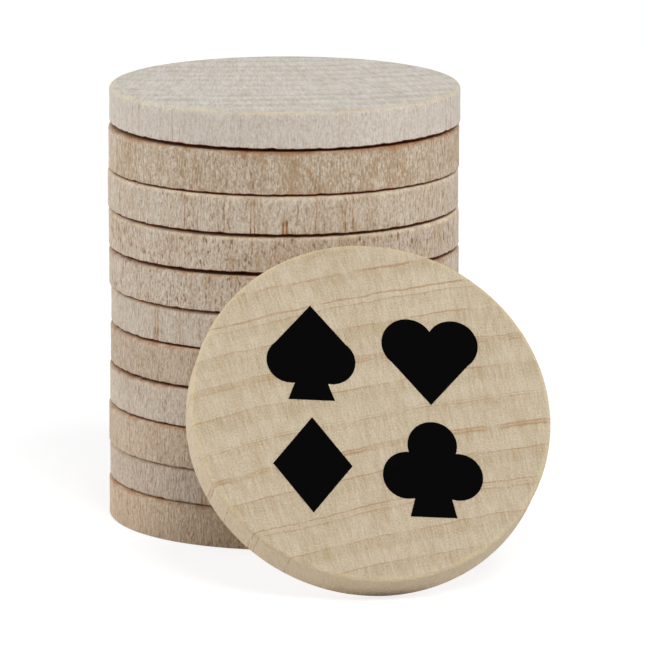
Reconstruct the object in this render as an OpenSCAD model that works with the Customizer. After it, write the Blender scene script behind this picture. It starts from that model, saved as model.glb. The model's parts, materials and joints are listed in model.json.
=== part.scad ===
// A set of round wooden game tokens: eleven stacked, one leaning on the stack with its printed face out.
// Millimetres, +Z up. The origin is on the stack's axis, on the surface that the tokens stand on.
// The leaning token stands on the -Y side and leans towards the stack's axis.

/* [Token] */
// Diameter of every token
token_d = 35; // [24:0.5:60]
// Thickness of a token that is cut to size
token_t = 4; // [3:0.1:8]
// Radius of the eased edge round the front face, which is the upper one in the stack
front_edge_r = 0.35; // [0.1:0.05:0.8]
// Radius of the eased edge round the back face
back_edge_r = 0.15; // [0.05:0.05:0.8]

/* [Stack] */
// How far a saw cut strays from the set thickness
cut_spread = 0.5; // [0:0.05:0.8]
// How far a token sits off the stack's axis
stack_play = 0.2; // [0:0.05:1]

/* [Leaning token] */
// Lean of the front token from upright, in degrees
lean_angle = 34.5; // [10:0.5:55]
// How far the front token stands to the side of the stack's axis
lean_shift = 3; // [-6:0.5:6]
// Gap between the leaning token and the stack
lean_gap = 0.1; // [0.05:0.05:0.4]

/* [Printed design] */
// Thickness of the ink film
ink_t = 0.05; // [0.02:0.01:0.2]
// Bare wood between the edge of the face and the corners of the printed square
print_margin = 2; // [1:0.5:6]
// Bare wood between two neighbouring marks
mark_space = 1.8; // [0.5:0.1:4]
// Turn of the design on the face, in degrees
print_turn = -5; // [-180:1:180]

/* [Hidden] */
$fn = 96;

// The stack from the bottom up: each token's share of the cut spread, and of the play in X and Y
cut_shares = [0.1, -1, 0.2, 0, 0.1, -0.5, -0.2, -0.1, 0, 0.8, -0.2];
place_shares = [
    [-0.5, 0], [0, 0.2], [-0.5, -0.3], [0.1, 0.1], [0.5, -0.2], [1, 0.3],
    [0, -0.1], [-0.1, 0.2], [-0.5, -0.4], [0, 0.1], [0.5, 0]
];
wood_tones = [
    "#bfa58a", "#c4b09a", "#bea285", "#cbb8a1", "#c0a88f", "#cdbda9",
    "#c3ab92", "#c6b19a", "#cfc0ab", "#c3a888", "#d6cab8"
];
leaning_tone = "#d0bd9d";
ink_tone = "#0b0b0b";

stack_count = len(cut_shares);
stack_last = stack_count - 1;
stack_nodes = [
    for (i = [0:stack_last]) str("stack_token_", i < 9 ? "0" : "", i + 1)
];

token_r = token_d / 2;
front_r = token_r - front_edge_r;
back_r = token_r - back_edge_r;

function sum_to(list, last) = last < 0 ? 0 : list[last] + sum_to(list, last - 1);
thicknesses = [for (share = cut_shares) token_t + cut_spread * share];
places = [for (share = place_shares) stack_play * share];
function seat_z(i) = sum_to(thicknesses, i - 1);
stack_h = seat_z(stack_count);

// The leaning token touches with the eased edge of its back face: low down on the ground, and high up
// on the stack's side. A wide token reaches over the stack and lies with its back on the stack's top edge.
lean_top = back_edge_r + 2 * back_r * cos(lean_angle);
leans_on_side = lean_top <= stack_h - front_edge_r;

// How far in front of the axis the leaning token's middle has to stay, so that a point of its back edge,
// at a turn from the highest one, comes no further than the side of a token of the stack at any height
function clear_y(turn, place) =
    let (x = lean_shift + back_r * sin(turn) - place[0])
    back_r * sin(lean_angle) * cos(turn) + sqrt(max(0, token_r * token_r - x * x)) - place[1];
edge_turns = [-60:60];
edge_reach = max([for (turn = edge_turns, place = places) clear_y(turn, place)]);
foot_on_side = back_r * sin(lean_angle) + edge_reach + lean_gap + back_edge_r;

stack_reach = token_r + max([for (place = places) -place[1]]);
edge_sum = front_edge_r + back_edge_r;
foot_on_top = stack_reach - front_edge_r
    + ((stack_h - edge_sum) * sin(lean_angle) + edge_sum + lean_gap) / cos(lean_angle);
foot_y = -(leans_on_side ? foot_on_side : foot_on_top);

// The printed square, whose corners keep the margin, is split into one square cell for each mark
print_w = sqrt(2) * (front_r - print_margin);
mark_cell = (print_w - mark_space) / 2;
mark_pitch = mark_cell + mark_space;

// Cross-section of a token from its axis out, back face down, with the eased edges as quarter circles
module token_section(thickness) {
    middle = thickness / 2;
    square([back_r, middle]);
    translate([0, middle]) square([front_r, middle]);
    translate([0, back_edge_r]) square([token_r, thickness - edge_sum]);
    translate([back_r, back_edge_r]) circle(back_edge_r);
    translate([front_r, thickness - front_edge_r]) circle(front_edge_r);
}

module token(thickness) {
    rotate_extrude() token_section(thickness);
}

module stack_token(i) {
    color(wood_tones[i])
        translate([places[i][0], places[i][1], seat_z(i)])
            token(thicknesses[i]);
}

// Puts a token that lies on its back at the origin into its leaning place
module lean() {
    translate([lean_shift, foot_y, back_edge_r])
        rotate([90 - lean_angle, 0, 0])
            translate([0, back_r, -back_edge_r])
                children();
}

module leaning_token() {
    color(leaning_tone) lean() token(token_t);
}

// A heart with its tip down: two round lobes and a body whose sides run from the tip into the lobes
module heart(width) {
    lobe_r = width * 0.27;
    lobe = [width / 2 - lobe_r, width * 0.19];
    tip = [0, width * -0.48];
    side_depth = lobe_r * 0.98;
    tip_to_lobe = lobe - tip;
    side_turn = atan2(tip_to_lobe[1], tip_to_lobe[0]) - asin(lobe_r / norm(tip_to_lobe)) - 90;
    side = lobe + side_depth * [cos(side_turn), sin(side_turn)];
    polygon([tip, side, lobe, [-lobe[0], lobe[1]], [-side[0], side[1]]]);
    for (x = [-lobe[0], lobe[0]])
        translate([x, lobe[1]]) circle(lobe_r);
}

// The flared stem of a spade or a club, from its base up to its narrow top
module stem(base_w, top_w, height) {
    polygon([
        [-base_w / 2, 0], [base_w / 2, 0], [top_w / 2, height], [-top_w / 2, height]
    ]);
}

module heart_mark() {
    heart_w = mark_cell * 0.96;
    lift = mark_cell * -0.04;
    translate([0, lift]) heart(heart_w);
}

module spade_mark() {
    leaf_w = mark_cell * 0.88;
    leaf_y = mark_cell * 0.08;
    stem_w = mark_cell * 0.46;
    neck_w = mark_cell * 0.08;
    stem_h = mark_cell * 0.5;
    translate([0, leaf_y]) rotate(180) heart(leaf_w);
    translate([0, -mark_cell / 2]) stem(stem_w, neck_w, stem_h);
}

module club_mark() {
    leaf_r = mark_cell * 0.245;
    side_x = mark_cell * 0.25;
    side_y = mark_cell * -0.07;
    top_y = mark_cell / 2 - leaf_r;
    stem_w = mark_cell * 0.46;
    neck_w = mark_cell * 0.16;
    stem_h = mark_cell * 0.6;
    translate([0, top_y]) circle(leaf_r);
    for (x = [-side_x, side_x])
        translate([x, side_y]) circle(leaf_r);
    translate([0, -mark_cell / 2]) stem(stem_w, neck_w, stem_h);
}

module diamond_mark() {
    half_w = mark_cell * 0.39;
    half_h = mark_cell / 2;
    polygon([[half_w, 0], [0, half_h], [-half_w, 0], [0, -half_h]]);
}

module design_outline() {
    half = mark_pitch / 2;
    translate([-half, half]) spade_mark();
    translate([half, half]) heart_mark();
    translate([-half, -half]) diamond_mark();
    translate([half, -half]) club_mark();
}

module printed_design() {
    color(ink_tone)
        lean()
            translate([0, 0, token_t])
                rotate(print_turn)
                    linear_extrude(ink_t) design_outline();
}

for (i = [0:stack_last])
    stack_token(i);
leaning_token();
printed_design();
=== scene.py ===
# %% [markdown]
# A stack of round wooden tokens, with one more token leaning on it.
# Each token is a slice sawn across a round rod, so its two faces show end grain, with growth rings and rays,
# and its rim shows the fibres from the side. The solids of the frame give every token its place and size.
# This lesson dresses them: a finer surface for each slice, and wood that runs through it
# in all three directions.

# %% Load the frame
import json
import math

import bpy
import numpy as np
from mathutils import Euler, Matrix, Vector


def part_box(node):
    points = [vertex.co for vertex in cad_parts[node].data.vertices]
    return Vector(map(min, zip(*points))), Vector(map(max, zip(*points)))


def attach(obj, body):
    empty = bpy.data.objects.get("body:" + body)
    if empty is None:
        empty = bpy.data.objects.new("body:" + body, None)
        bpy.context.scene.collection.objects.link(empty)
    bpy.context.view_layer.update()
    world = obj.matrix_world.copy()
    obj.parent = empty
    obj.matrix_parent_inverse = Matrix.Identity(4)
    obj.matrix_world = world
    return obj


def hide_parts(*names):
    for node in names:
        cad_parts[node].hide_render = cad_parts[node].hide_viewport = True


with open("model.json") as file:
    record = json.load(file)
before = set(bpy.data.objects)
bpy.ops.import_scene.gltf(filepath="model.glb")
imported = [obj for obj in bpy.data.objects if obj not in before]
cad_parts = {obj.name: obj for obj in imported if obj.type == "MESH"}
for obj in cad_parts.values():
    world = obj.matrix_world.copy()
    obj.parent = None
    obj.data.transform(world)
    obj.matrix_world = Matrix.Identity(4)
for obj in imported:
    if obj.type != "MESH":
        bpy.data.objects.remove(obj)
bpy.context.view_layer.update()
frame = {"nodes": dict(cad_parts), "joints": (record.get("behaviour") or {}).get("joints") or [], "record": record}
MM = 0.001

# %% [markdown]
# The camera comes first, because every later choice is judged through it.
# The picture was taken from slightly above with a long lens, so the discs hardly taper.
# A camera is a place, a direction and a lens. The place is worked out from a point that it looks at,
# two angles and a distance, which are easier to adjust than three coordinates.

# %% Camera
IMAGE_PX = 645
FOCAL_PX = 6480
VIEW_AZIMUTH = -10.55
VIEW_ELEVATION = 11.42
VIEW_DISTANCE = 650 * MM
VIEW_TARGET = Vector((3.79, -0.71, 19.31)) * MM


def direction(azimuth, elevation):
    """Unit vector towards a viewer: azimuth 0 is on the -Y side and 90 on the +X side, in degrees."""
    a = math.radians(azimuth)
    e = math.radians(elevation)
    return Vector((math.sin(a) * math.cos(e), -math.cos(a) * math.cos(e), math.sin(e)))


def aim(thing, place, target):
    """Puts a camera or a lamp at a place, with its -Z axis towards the target."""
    thing.location = place
    thing.rotation_euler = (target - place).to_track_quat("-Z", "Y").to_euler()


scene = bpy.context.scene
camera = bpy.data.objects.new("camera", bpy.data.cameras.new("camera"))
camera.data.lens = camera.data.sensor_width * FOCAL_PX / IMAGE_PX
scene.collection.objects.link(camera)
scene.camera = camera
aim(camera, VIEW_TARGET + direction(VIEW_AZIMUTH, VIEW_ELEVATION) * VIEW_DISTANCE, VIEW_TARGET)
scene.view_settings.view_transform = "Standard"
print("lens", round(camera.data.lens, 1), "mm")

# %% [markdown]
# A token could be a cylinder with a bevel, but a sawn and tumbled slice is never that even.
# Its front edge is worn rounder than its back one, and neither is the same all the way round.
# The back face lifts a little towards the rim, so a stack shows dark seams, and the saw splinters the edge
# there. All this fits one surface over two parameters: the turn round the axis, and the way from the middle
# of the front face over the rim to the middle of the back face. Every departure goes inwards from the solid.
# The numbers below are millimetres, counts, shares, and seeds that give each ripple its own phases.

# %% The surface of a slice
SEGMENTS = 480
FACE_ROWS = 14
EDGE_ROWS = 7
SIDE_ROWS = 9
ROW_CROWDING = 1.6
FRONT_EDGE = 0.35
BACK_EDGE = 0.15
WEAR = 0.6
SIDE_DEPTH = 0.03
SPLINTER = 0.16
GAP_REACH = 3.0
SLOW_WAVES = (1, 2, 3, 5)
WORN_WAVES = (2, 3, 5, 9, 14, 23, 37, 61)
SPLINTER_WAVES = (31, 47, 68, 93, 127, 166)
WAVE_FADE = 0.4
BACK_SEED, LIFT_SEED, SPLINTER_SEED, UPPER_SEED, LOWER_SEED = 100, 200, 250, 300, 400


def ripple(angle, seed, waves):
    """Sum of cosines with whole numbers of waves in a turn, so that it closes on itself, from 0 to 1."""
    rng = np.random.default_rng(seed)
    counts = np.array(waves)
    phases = rng.uniform(0, 2 * np.pi, len(waves))
    weights = counts ** -WAVE_FADE
    swing = weights @ np.cos(np.outer(counts, angle) + phases[:, None]) / weights.sum()
    return 0.5 + 0.5 * swing


def ease(value, low, high):
    """Smooth step from 0 at low to 1 at high: 3s^2 - 2s^3."""
    s = np.clip((value - low) / (high - low), 0, 1)
    return s * s * (3 - 2 * s)


def slice_surface(radius, thickness, gap, seed):
    """Points of a token in millimetres, back face at z = 0, as rows from the front's middle to the back's.

    A row holds one ring of points at the angles u. On a face r = share (R - e(u)), on an eased edge
    r = R - e(u) (1 - cos a) and z = t - e(u) (1 - sin a), and on the rim r = R, with e(u) the worn radius.
    The rim is dented by up to SIDE_DEPTH. The gap and the splinters raise the back edge by lift(u)."""
    u = np.arange(SEGMENTS) * 2 * np.pi / SEGMENTS
    front = FRONT_EDGE * (1 + WEAR * ripple(u, seed, WORN_WAVES))
    back = BACK_EDGE * (1 + WEAR * ripple(u, seed + BACK_SEED, WORN_WAVES))
    splinters = SPLINTER * ripple(u, seed + SPLINTER_SEED, SPLINTER_WAVES) ** 2
    lift = gap * (0.5 + ripple(u, seed + LIFT_SEED, SLOW_WAVES)) + (splinters if gap else 0 * u)
    share = 1 - (1 - np.linspace(0, 1, FACE_ROWS + 1)[1:-1, None]) ** ROW_CROWDING
    arc = np.linspace(np.pi / 2, 0, EDGE_ROWS)[:, None]
    down = np.linspace(0, 1, SIDE_ROWS + 1)[1:-1, None]
    upper_dent = ripple(u, seed + UPPER_SEED, WORN_WAVES)
    lower_dent = ripple(u, seed + LOWER_SEED, WORN_WAVES)
    dent = (1 - down) * upper_dent + down * lower_dent

    front_r = share * (radius - front)
    front_z = np.full_like(front_r, thickness)
    upper_r = radius - front * (1 - np.cos(arc))
    upper_z = thickness - front * (1 - np.sin(arc))
    side_r = radius - SIDE_DEPTH * dent * np.sin(np.pi * down)
    side_z = thickness - front - down * (thickness - front - back - lift)
    lower_r = radius - back * (1 - np.cos(arc[::-1]))
    lower_z = lift + back * (1 - np.sin(arc[::-1]))
    back_r = share[::-1] * (radius - back)
    back_z = lift * ease(back_r, radius - GAP_REACH, radius)
    r = np.vstack([front_r, upper_r, side_r, lower_r, back_r])
    z = np.vstack([front_z, upper_z, side_z, lower_z, back_z])
    rings = np.stack([r * np.cos(u), r * np.sin(u), z], axis=-1)
    middles = np.array([[0, 0, thickness], [0, 0, 0]])
    return rings, middles


def close_rings(rings, middles):
    """Joins neighbouring rings with quads, and the first and last ring to the two middle points."""
    rows, columns = rings.shape[:2]
    index = np.arange(rows * columns).reshape(rows, columns)
    turned = np.roll(index, -1, axis=1)
    quads = np.stack([index[:-1], index[1:], turned[1:], turned[:-1]], axis=-1).reshape(-1, 4)
    first = np.full(columns, rows * columns)
    front = np.stack([first, index[0], turned[0]], axis=-1)
    back = np.stack([index[-1], first + 1, turned[-1]], axis=-1)
    points = np.vstack([rings.reshape(-1, 3), middles])
    return points, quads.tolist() + front.tolist() + back.tolist()


def add_piece(name, points, faces):
    """A smooth mesh object at the origin, with its place in its points."""
    mesh = bpy.data.meshes.new(name)
    mesh.from_pydata(points.tolist(), [], faces)
    mesh.polygons.foreach_set("use_smooth", np.ones(len(mesh.polygons), bool))
    mesh.update()
    piece = bpy.data.objects.new(name, mesh)
    scene.collection.objects.link(piece)
    return piece


print("a slice has", 2 * SEGMENTS * (2 * FACE_ROWS + 2 * EDGE_ROWS + SIDE_ROWS - 3), "triangles")

# %% [markdown]
# The frame says where each slice lies. In the stack a node's box gives its middle, radius and thickness.
# The leaning token has a joint at the edge it stands on, and the joint's limit is where it stands upright,
# so that limit is also its lean. Measured along its own three directions, its points give the rest.

# %% Places of the slices
STACK = sorted(node for node in frame["nodes"] if node.startswith("stack_token_"))
LEANING = "leaning_token"
tilt = next(joint for joint in frame["joints"] if joint["child"] == LEANING)
lean = math.radians(max(tilt["range_deg"]))


def stacked_place(node):
    """Origin at the middle of the lower face, no turn, radius and thickness, in metres."""
    low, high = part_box(node)
    middle = (low + high) / 2
    return {
        "origin": Vector((middle.x, middle.y, low.z)),
        "turn": Euler((0, 0, 0)),
        "radius": (high.x - low.x) / 2,
        "thickness": high.z - low.z,
    }


def leaning_place(node, angle):
    """The same for a token that leans back by an angle, measured in its own turned directions."""
    turn = Euler((math.pi / 2 - angle, 0, 0))
    mesh = frame["nodes"][node].data
    points = np.empty(len(mesh.vertices) * 3)
    mesh.vertices.foreach_get("co", points)
    own = points.reshape(-1, 3) @ np.array(turn.to_matrix())
    low, high = own.min(axis=0), own.max(axis=0)
    middle = Vector(((low[0] + high[0]) / 2, (low[1] + high[1]) / 2, low[2]))
    return {
        "origin": turn.to_matrix() @ middle,
        "turn": turn,
        "radius": (high[0] - low[0]) / 2,
        "thickness": high[2] - low[2],
    }


places = {node: stacked_place(node) for node in STACK}
places[LEANING] = leaning_place(LEANING, lean)
for node, place in places.items():
    print(node, "radius", round(place["radius"] / MM, 2), "thickness", round(place["thickness"] / MM, 2))

# %% [markdown]
# Shader maths reads best as maths. The class below holds one socket of a node tree.
# Adding or multiplying two of them adds a Math node, and every other node comes from its add method,
# which sets the node's settings first and then its sockets.

# %% Node maths
class Wire:
    """One socket of a node tree, with operators that add Math nodes."""

    def __init__(self, tree, socket=None):
        self.tree = tree
        self.socket = socket

    def add(self, kind, settings=None, sockets=None, output=0):
        """A new node with its settings, then the value or wire of each socket; returns one of its outputs."""
        node = self.tree.nodes.new(kind)
        for name, value in (settings or {}).items():
            setattr(node, name, value)
        for name, value in (sockets or {}).items():
            if isinstance(value, Wire):
                self.tree.links.new(value.socket, node.inputs[name])
            else:
                node.inputs[name].default_value = value
        return Wire(self.tree, node.outputs[output] if node.outputs else None)

    def math(self, operation, *values):
        """A Math node on values or wires."""
        return self.add("ShaderNodeMath", {"operation": operation}, dict(enumerate(values)))

    def __add__(self, other):
        return self.math("ADD", self, other)

    __radd__ = __add__

    def __sub__(self, other):
        return self.math("SUBTRACT", self, other)

    def __rsub__(self, other):
        return self.math("SUBTRACT", other, self)

    def __mul__(self, other):
        return self.math("MULTIPLY", self, other)

    __rmul__ = __mul__

    def __truediv__(self, other):
        return self.math("DIVIDE", self, other)

    def __abs__(self):
        return self.math("ABSOLUTE", self)

    def step(self, low, high):
        """Smooth step from 0 at low to 1 at high."""
        smooth = {"interpolation_type": "SMOOTHSTEP"}
        return self.add("ShaderNodeMapRange", smooth, {0: self, 1: low, 2: high})

    def mix(self, under, over):
        """Colour under where this is 0, and over where it is 1."""
        return self.add("ShaderNodeMix", {"data_type": "RGBA"}, {0: self, 6: under, 7: over}, output=2)

    def moved(self, x, y, z):
        """A vector with an offset added."""
        return self.add("ShaderNodeVectorMath", {"operation": "ADD"}, {0: self, 1: (x, y, z)})

    def noise(self, lengths, detail=2.0, roughness=0.5):
        """Soft noise on a vector, with marks of about the given length along each axis, from -0.5 to 0.5."""
        scaled = self.add("ShaderNodeVectorMath", {"operation": "DIVIDE"}, {0: self, 1: lengths})
        return self.add("ShaderNodeTexNoise", None, {
            "Vector": scaled, "Scale": 1.0, "Detail": detail, "Roughness": roughness}) - 0.5

    def xyz(self):
        """The three numbers of a vector."""
        split = self.add("ShaderNodeSeparateXYZ", None, {0: self})
        return [Wire(self.tree, socket) for socket in split.socket.node.outputs]


def colour(code):
    """Linear colour with alpha from a screen colour such as #d0bd9d."""
    shares = [int(code[i:i + 2], 16) / 255 for i in (1, 3, 5)]
    linear = [s / 12.92 if s <= 0.04045 else ((s + 0.055) / 1.055) ** 2.4 for s in shares]
    return (*linear, 1.0)


def empty_tree(owner):
    """Clears the node tree of a material or a world, and returns a wire to start from."""
    owner.use_nodes = True
    owner.node_tree.nodes.clear()
    return Wire(owner.node_tree)


def own_millimetres(start, place):
    """Object coordinates turned and moved into a token's own directions, in millimetres."""
    coordinates = start.add("ShaderNodeTexCoord", output="Object")
    return start.add("ShaderNodeMapping", {"vector_type": "TEXTURE"}, {
        "Vector": coordinates, "Location": place["origin"], "Rotation": place["turn"], "Scale": (MM, MM, MM)})


print("operators ready")

# %% [markdown]
# Wood is a solid pattern, so one set of directions serves faces and rim alike. Far from the slice lies
# the pith, the middle of the tree. Growth rings go round it, rays run out from it, and fibres run along
# the rod. So a point has three addresses: in the slice, in the rod, and round the pith. The last one is bent
# a little, because no tree is a true cylinder. Noise that is drawn out along one of them makes marks that run
# that way. Lengths are in millimetres, one for each axis of the address.

# %% Directions in the wood
BEND_LENGTHS = (14, 14, 60)
JITTER = 0.4
JITTER_LENGTHS = (1.3, 1.3, 3)
RIM_STARTS = 0.3
RIM_FULL = 0.05
SEED_STEP = 37.0


def directions(start, place, look):
    """The addresses of a point, in millimetres, and how far it is on the rim and across the rings there."""
    own = own_millimetres(start, place)
    x, y, z = own.xyz()
    from_axis = start.math("SQRT", x * x + y * y)
    radius = place["radius"] / MM
    rod = own.moved(0, 0, look["seed"] * SEED_STEP)
    way = math.radians(look["pith_way"])
    across = y * math.cos(way) - x * math.sin(way)
    depth = look["pith"] - (x * math.cos(way) + y * math.sin(way))
    pith_r = (start.math("SQRT", across * across + depth * depth)
              + look["sway"] * rod.noise(BEND_LENGTHS)
              + JITTER * rod.noise(JITTER_LENGTHS))
    along = start.math("ARCTAN2", across, depth) * look["pith"]
    polar = start.add("ShaderNodeCombineXYZ", None, {0: along, 1: pith_r, 2: z})
    return {
        "rod": rod, "polar": polar, "pith_r": pith_r, "z": z, "from_axis": from_axis,
        "on_rim": from_axis.step(radius - RIM_STARTS, radius - RIM_FULL), "crossing": abs(across) / from_axis,
    }


print("directions ready")

# %% [markdown]
# A tree adds one ring a year, pale at first and dark at the end. Counting rings outwards from the pith
# and keeping the fraction gives the time of year at every point. On the faces the end of a year is a soft
# brown line, after a slow darkening. On the rim it is an upright line, broken and darker in places, but only
# where the rim cuts steeply across the rings. The pairs below are where a smooth step starts and ends.

# %% Growth rings
YEAR_SWING = 0.9
SWING_RATE = 0.6
LINE_RISE = (0.87, 0.94)
LINE_FALL = (0.97, 1.0)
LINE_BREAKS = (3, 3, 2.5)
LINE_SHOWS = (-0.18, 0.08)
STEEP_CUT = (0.4, 0.75)
DASH_LENGTHS = (2, 2, 0.9)
DASH_SHOWS = (0.02, 0.16)
LATE_RISE = (0.3, 0.9)
LATE_FALL = (0.9, 1.0)


def growth_rings(start, at, look):
    """The line at the end of each year, its dashes on the rim, and the darkening before it on faces."""
    rod, on_rim = at["rod"], at["on_rim"]
    years = at["pith_r"] / look["spacing"]
    swing = start.add("ShaderNodeTexNoise", {"noise_dimensions": "1D"}, {"W": years * SWING_RATE})
    year = start.math("FRACT", years + YEAR_SWING * swing)
    shown = (1 - year.step(*LINE_FALL)) * (1 - on_rim * (1 - at["crossing"].step(*STEEP_CUT)))
    line = year.step(*LINE_RISE) * shown * rod.noise(LINE_BREAKS).step(*LINE_SHOWS)
    dash = line * on_rim * rod.noise(DASH_LENGTHS).step(*DASH_SHOWS)
    late = year.step(*LATE_RISE) * (1 - year.step(*LATE_FALL)) * (1 - on_rim)
    return line, dash, late


print("rings ready")

# %% [markdown]
# Between the rings lies the grain. The rim shows the fibres from the side, as fine upright hairs and streaks.
# The faces show them end on, as grit, crossed by the threads of the rays, which makes the faces look woven.
# Wide soft patches keep the tone from being even, and sap stains some of them on the rim.

# %% Grain
FIBRES = (0.18, 0.18, 0.8)
HAIRS = (0.32, 0.32, 1.0)
HAIR_PATCHES = (2.6, 2.6, 2)
STREAKS = (0.7, 0.7, 6)
GRIT = (0.17, 0.17, 0.3)
RAYS = (1.1, 3, 6)
THREADS = (0.18, 1.6, 6)
PATCHES = (3.5, 3.5, 6)
STAINS = (0.8, 0.8, 1)


def grain(at):
    """Fields of noise from about -0.3 to 0.3, and the dark hairs and the sap from 0 to 1."""
    rod, polar = at["rod"], at["polar"]
    patches = rod.noise(PATCHES)
    return {
        "fibres": rod.noise(FIBRES, detail=1),
        "hairs": rod.noise(HAIRS, detail=1).step(0.1, 0.18) * rod.noise(HAIR_PATCHES).step(-0.1, 0.1),
        "streaks": rod.noise(STREAKS),
        "grit": rod.noise(GRIT, detail=1),
        "rays": polar.noise(RAYS),
        "threads": polar.noise(THREADS, detail=1),
        "patches": patches,
        "sap": patches.step(-0.05, 0.15) * rod.noise(STAINS, detail=3).step(-0.05, 0.25),
    }


print("grain ready")

# %% [markdown]
# The front edge is worn by tumbling, and its colour there also carries painted light: a brown painted shade on
# most tokens that lie under another one, where it darkens the seam above, and a pale painted highlight on some
# others.
# The back edge and the outer ring of the back face get painted shade, a dark red-brown, which makes the seam under
# each token dark. Each mark is a mask made of steps
# along two lengths: the distance from the axis and the height in the slice. Distances are measured inwards
# from the rim, and heights from the face that the mark belongs to.

# %% Edges
EDGE_WEAR_LIGHT_FULL_IN = 0.3
EDGE_WEAR_LIGHT_FULL_DOWN = 0.1
EDGE_WEAR_LIGHT_PATCHES = (1.6, 1.6, 1.6)
EDGE_WEAR_LIGHT_SHOWS = (-0.25, 0.2)
SEAM_SHADE_STARTS = 2.5
SEAM_SHADE_FULL = 0.9
SEAM_SHADE_FADES = 0.05
SEAM_SHADE_ENDS = 0.005
SEAM_SHADE_HEIGHT = (0.6, 0.8)


def edge_marks(at, place, look):
    """Masks from 0 to 1: the worn front edge, whose colour also carries painted light, and the painted shade at
    the back edge.
    """
    radius = place["radius"] / MM
    thickness = place["thickness"] / MM
    from_axis, z = at["from_axis"], at["z"]
    # The worn front edge, whose colour also carries painted light: painted shade where it is brown, a painted
    # highlight where it is pale.
    rubbed = (from_axis.step(radius - look["edge_reach"], radius - EDGE_WEAR_LIGHT_FULL_IN)
              * z.step(thickness - look["edge_drop"], thickness - EDGE_WEAR_LIGHT_FULL_DOWN)
              * at["rod"].noise(EDGE_WEAR_LIGHT_PATCHES).step(*EDGE_WEAR_LIGHT_SHOWS))
    # Painted shade on the outer ring of the back face and the lower edge, where the seam under the token is.
    scorched = (from_axis.step(radius - SEAM_SHADE_STARTS, radius - SEAM_SHADE_FULL)
                * (1 - from_axis.step(radius - SEAM_SHADE_FADES, radius - SEAM_SHADE_ENDS))
                * (1 - z.step(*SEAM_SHADE_HEIGHT)))
    return rubbed, scorched


print("edges ready")

# %% [markdown]
# The fields are now mixed from the widest to the narrowest: the tone of the wood, then rings, hairs
# and sap stains, then the edge colour, which is painted shade on some tokens and a painted highlight on others.
# The wood has no varnish, so it is rough and its gloss is faint, and the grain also lifts the surface a little.
# The painted shade of the seams has no gloss at all, so it is a second shader, mixed in by its mask.

# %% Wood
DASH_BROWN = colour("#7a5233")
RING_BROWN = colour("#ab7844")
HAIR_BROWN = colour("#80592f")
SAP = colour("#b08a58")
# Painted shade: the dark red-brown that darkens the seam under each token.
SEAM_SHADE_COLOUR = colour("#7a2600")
MIDDLE_TONE = 0.4
RIM_FIBRES, RIM_STREAKS, RIM_GRIT = 1.3, 0.4, 1.3
FACE_THREADS = 1.5
BAND_TONE = 0.8
RAY_RELIEF = 0.4
RING_GROOVE = 0.1
RELIEF_STRENGTH = 0.5
RELIEF = 0.2 * MM
ROUGHNESS, ROUGHNESS_SWING = 0.6, 0.3
FAINT_GLOSS = 0.15


def wood_tone(at, field, late, place, look):
    """How dark the bare wood is, from 0 for its pale colour to 1 for its tan one."""
    on_rim = at["on_rim"]
    rim_tone = look["fibre"] * (
        RIM_FIBRES * field["fibres"] + RIM_STREAKS * field["streaks"] + RIM_GRIT * field["grit"])
    face_tone = (look["weave"] * (field["rays"] + FACE_THREADS * field["threads"])
                 + look["grit"] * field["grit"])
    outwards = (at["pith_r"] - look["pith"]) * MM / place["radius"]
    return (MIDDLE_TONE + on_rim * rim_tone + (1 - on_rim) * face_tone + look["patches"] * field["patches"]
            + look["bands"] * late * (BAND_TONE + field["threads"]) + look["drift"] * outwards)


def wood(name, place, look):
    """A slice's own wood. The look holds its colours, ring spacing and the strength of each mark."""
    material = bpy.data.materials.new(name)
    start = empty_tree(material)
    at = directions(start, place, look)
    on_rim = at["on_rim"]
    line, dash, late = growth_rings(start, at, look)
    field = grain(at)
    rubbed, scorched = edge_marks(at, place, look)

    tone = wood_tone(at, field, late, place, look)
    base = on_rim.mix(tone.mix(colour(look["face_pale"]), colour(look["face_tan"])),
                      tone.mix(colour(look["pale"]), colour(look["tan"])))
    base = (look["rings"] * line).mix(base, RING_BROWN)
    base = (look["rings"] * dash).mix(base, DASH_BROWN)
    base = (look["hairs"] * field["hairs"] * on_rim).mix(base, HAIR_BROWN)
    base = (look["stains"] * field["sap"] * on_rim).mix(base, SAP)
    # Edge colour: wear, plus painted light. Brown edges are painted shade under a seam, and pale edges are a
    # painted highlight.
    base = (look["rubbed"] * rubbed).mix(base, colour(look["edge"]))

    height = field["fibres"] + field["grit"] + RAY_RELIEF * field["rays"] - RING_GROOVE * line
    bump = start.add("ShaderNodeBump", None, {
        "Strength": RELIEF_STRENGTH, "Distance": RELIEF, "Height": height})
    bare = start.add("ShaderNodeBsdfPrincipled", None, {
        "Base Color": base, "Roughness": ROUGHNESS + ROUGHNESS_SWING * field["fibres"], "Normal": bump,
        "Specular IOR Level": FAINT_GLOSS})
    # A gloss-free shader for the painted seam shade, so the shade takes no reflection of the floor.
    seam_shade_bsdf = start.add("ShaderNodeBsdfPrincipled", None, {
        "Base Color": SEAM_SHADE_COLOUR, "Roughness": 1.0, "Normal": bump, "Specular IOR Level": 0.0})
    shader = start.add("ShaderNodeMixShader", None, {0: look["scorch"] * scorched, 1: bare, 2: seam_shade_bsdf})
    start.add("ShaderNodeOutputMaterial", None, {"Surface": shader})
    return material


print("wood ready")

# %% [markdown]
# No two slices come from the same place in the rod, so each has a look of its own.
# A look names the palest and the darkest wood of the rim, the direction of the pith, and what differs
# from a common slice. Lengths are in millimetres, the direction is in degrees, and the strength of a mark
# is 0 where it is left out. A gap is how far the back edge lifts off the token below.

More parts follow.
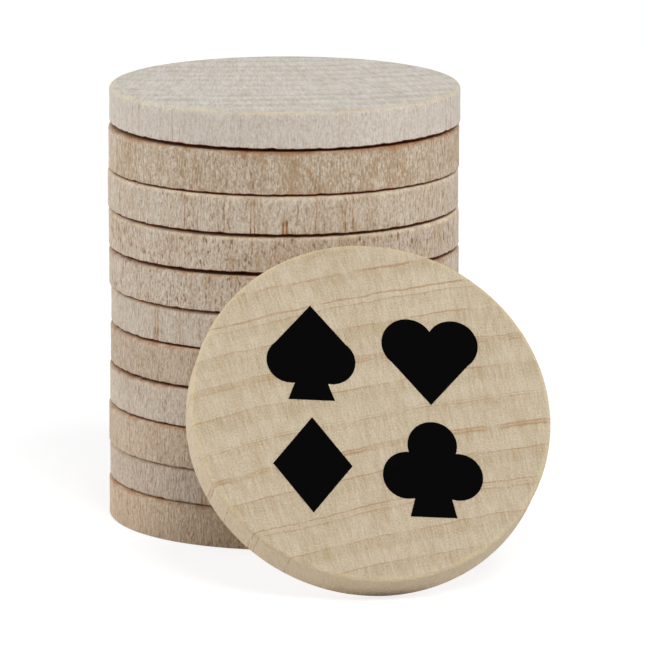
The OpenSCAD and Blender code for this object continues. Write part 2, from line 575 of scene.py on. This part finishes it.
# %% Looks of the slices
COMMON = {
    "pith": 60, "spacing": 2.6, "sway": 2.4, "rings": 0.5, "bands": 0.1,
    "fibre": 1.0, "weave": 0.5, "grit": 0.6, "patches": 0.25, "drift": 0.0, "hairs": 0.4, "stains": 0.2,
    "face_pale": "#d9ccb4", "face_tan": "#b0956d",
    # The brown edge colour is painted shade under the seam above it. The seam-shade share sets the painted shade
    # at the back edge.
    "edge": "#98580f", "rubbed": 0.55, "edge_reach": 1.2, "edge_drop": 0.55, "scorch": 1.0, "gap": 0.12,
}
# A pale edge colour: a painted highlight along the worn front edge.
PALE_EDGE_HIGHLIGHT = {"edge": "#e0cea0", "rubbed": 0.5, "edge_reach": 0.6, "edge_drop": 0.35}


def slice_look(pale, tan, pith_way, **marks):
    """A common slice with its own rim colours and pith, and with the marks that differ."""
    return {**COMMON, "pale": pale, "tan": tan, "pith_way": pith_way, **marks}


LOOKS = {
    "stack_token_01": slice_look("#dac5ad", "#a58869", 20, rings=0.6, rubbed=0.65, gap=0, scorch=0),
    "stack_token_02": slice_look("#d6c7b6", "#a8917c", 130, rubbed=0.2, gap=0.04, scorch=0.25),
    "stack_token_03": slice_look("#d7c4ad", "#a4896f", 75, patches=0.6, rubbed=0.75, gap=0.03, scorch=0.2),
    "stack_token_04": slice_look("#dacdbc", "#ab957e", 200, rubbed=0.6, gap=0.08, scorch=0.8),
    "stack_token_05": slice_look("#d3c2ae", "#a0876e", 40, stains=0.3, fibre=1.1),
    "stack_token_06": slice_look("#dbcfbf", "#ae9983", 110, edge="#e6cfa4", rubbed=0.6, gap=0.13),
    "stack_token_07": slice_look("#dbcebd", "#a88e75", 170, stains=0.3, hairs=0.8, fibre=1.2, gap=0.11),
    "stack_token_08": slice_look("#ddd0bf", "#a98d73", 250, stains=0.5, hairs=0.8, fibre=1.2,
                                 edge="#f0dab4", rubbed=0.7, gap=0.21),
    "stack_token_09": slice_look("#ddd1c0", "#ac9276", 5, rings=0.9, stains=0.3, hairs=0.5, fibre=1.1,
                                 edge="#f0dab4", rubbed=0.4, gap=0.17),
    "stack_token_10": slice_look("#e2d5c2", "#af977d", 85, drift=0.3, patches=0.8, stains=0.6, hairs=0.5,
                                 fibre=1.2, rubbed=0.7, gap=0.05),
    "stack_token_11": slice_look("#e2dacf", "#bbaa99", 85, spacing=3.0, rings=0.4, bands=0.25, weave=0.75,
                                 fibre=0.8, patches=0.15, hairs=0.1, stains=0, face_pale="#e2ddd4",
                                 face_tan="#b9ad9f", gap=0.24, **PALE_EDGE_HIGHLIGHT),
    "leaning_token": slice_look("#e2d2b7", "#bea583", -81, pith=200, spacing=3.0, sway=1.2, rings=0.52,
                                bands=0.18, weave=0.4, grit=0.85, fibre=0.4, hairs=0, drift=-0.02,
                                face_pale="#e1d5be", gap=0, scorch=0, **PALE_EDGE_HIGHLIGHT),
}
print(len(LOOKS), "looks")

# %% [markdown]
# Now every slice gets its surface, its place and its wood. It takes over from the plain solid
# of the same token, and it moves with the same body, so a lifted token carries its dressed piece along.

# %% Slices
BODIES = {node: body for body, nodes in frame["record"]["behaviour"]["bodies"].items() for node in nodes}

for seed, (node, place) in enumerate(places.items()):
    marks = {**LOOKS[node], "seed": seed}
    rings, middles = slice_surface(place["radius"] / MM, place["thickness"] / MM, marks["gap"], seed)
    points, faces = close_rings(rings, middles)
    points = points * MM @ np.array(place["turn"].to_matrix()).T + np.array(place["origin"])
    piece = add_piece("wooden_" + node, points, faces)
    piece.data.materials.append(wood("wood_" + node, place, marks))
    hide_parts(node)
    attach(piece, BODIES[node])
print(len(places), "slices")

# %% [markdown]
# The print is a film of black ink that a pad or a screen lays on the wood. The solid already has its outline,
# so it only needs a finish. Ink sinks into the pores a little, so its gloss and its surface follow
# the wood below.

# %% Ink
INK_BLACK = colour("#020202")
INK_WORN = colour("#080706")
PORES = (0.13, 0.13, 1.1)
WORN_SHOWS = (0.1, 0.3)
INK_RELIEF_STRENGTH = 0.3
INK_RELIEF = 0.03 * MM
INK_ROUGHNESS, INK_SWING = 0.7, 0.4
INK_GLOSS = 0.02


def ink(name, place):
    """Matt black that follows the pores of the wood below it."""
    material = bpy.data.materials.new(name)
    start = empty_tree(material)
    pores = own_millimetres(start, place).noise(PORES, detail=3.0, roughness=0.6)
    base = pores.step(*WORN_SHOWS).mix(INK_BLACK, INK_WORN)
    bump = start.add("ShaderNodeBump", None, {
        "Strength": INK_RELIEF_STRENGTH, "Distance": INK_RELIEF, "Height": pores})
    shader = start.add("ShaderNodeBsdfPrincipled", None, {
        "Base Color": base, "Roughness": INK_ROUGHNESS + INK_SWING * pores, "Normal": bump,
        "Specular IOR Level": INK_GLOSS})
    start.add("ShaderNodeOutputMaterial", None, {"Surface": shader})
    return material


design = frame["nodes"]["printed_design"]
design.data.materials.clear()
design.data.materials.append(ink("printed_ink", places[LEANING]))
print("ink on", design.name)

# %% [markdown]
# The tokens stand on a white floor that is matt. It could be a white plane under strong lamps, but then
# the pale wood would be too bright as well. So for rays from the camera the floor glows a little,
# which lifts it to white and leaves a soft shadow under the tokens.

# %% Floor
FLOOR_HALF = 3.0
FLOOR_DROP = 0.02 * MM
FLOOR_WHITE = 0.85
FLOOR_GLOW = 0.6
GLOW_STRENGTH = 1.3


def shows_background(start):
    """1 for rays from the camera and for reflected and refracted ones, and 0 for rays that gather light."""
    path = start.add("ShaderNodeLightPath").socket.node.outputs
    camera_ray, glossy, through = (Wire(start.tree, path["Is " + kind + " Ray"])
                                   for kind in ("Camera", "Glossy", "Transmission"))
    return start.math("MAXIMUM", camera_ray, start.math("MAXIMUM", glossy, through))


corners = np.array([[-1, -1], [1, -1], [1, 1], [-1, 1]]) * FLOOR_HALF
floor = add_piece("floor", np.column_stack([corners, np.full(4, -FLOOR_DROP)]), [[0, 1, 2, 3]])
floor_material = bpy.data.materials.new("white_floor")
start = empty_tree(floor_material)
matt = start.add("ShaderNodeBsdfDiffuse", None, {"Color": (FLOOR_WHITE, FLOOR_WHITE, FLOOR_WHITE, 1)})
glow = start.add("ShaderNodeEmission", None, {"Color": (1, 1, 1, 1), "Strength": GLOW_STRENGTH})
mixed = start.add("ShaderNodeMixShader", None, {0: FLOOR_GLOW * shows_background(start), 1: matt, 2: glow})
start.add("ShaderNodeOutputMaterial", None, {"Surface": mixed})
floor.data.materials.append(floor_material)
print("floor", 2 * FLOOR_HALF, "m wide")

# %% [markdown]
# A photographer puts small pale things in a light tent: white all round, with one large soft lamp in front
# and above, and one at each side, a little behind. The world is the tent, faint as a light and white
# to look at. Each lamp is a square that faces the stack, and two angles from the camera's side place it.

# %% World and lamps
WORLD_LIGHT = 0.2
LAMP_DISTANCE = 1.2


def softbox(name, azimuth, elevation, watts, size):
    """A square lamp that faces the stack, placed by its angles from the camera's own side."""
    lamp = bpy.data.objects.new(name, bpy.data.lights.new(name, "AREA"))
    lamp.data.size = size
    lamp.data.energy = watts
    scene.collection.objects.link(lamp)
    way = direction(VIEW_AZIMUTH + azimuth, elevation)
    aim(lamp, VIEW_TARGET + way * LAMP_DISTANCE, VIEW_TARGET)
    print(name, watts, "W")


world = bpy.data.worlds.new("light_tent")
scene.world = world
start = empty_tree(world)
sky = start.add("ShaderNodeBackground", None, {
    "Color": (1, 1, 1, 1), "Strength": WORLD_LIGHT + (1 - WORLD_LIGHT) * shows_background(start)})
start.add("ShaderNodeOutputWorld", None, {"Surface": sky})
softbox("front_softbox", azimuth=25, elevation=50, watts=8.8, size=0.5)
softbox("left_softbox", azimuth=-105, elevation=20, watts=8.9, size=0.9)
softbox("right_softbox", azimuth=105, elevation=20, watts=3.4, size=0.9)
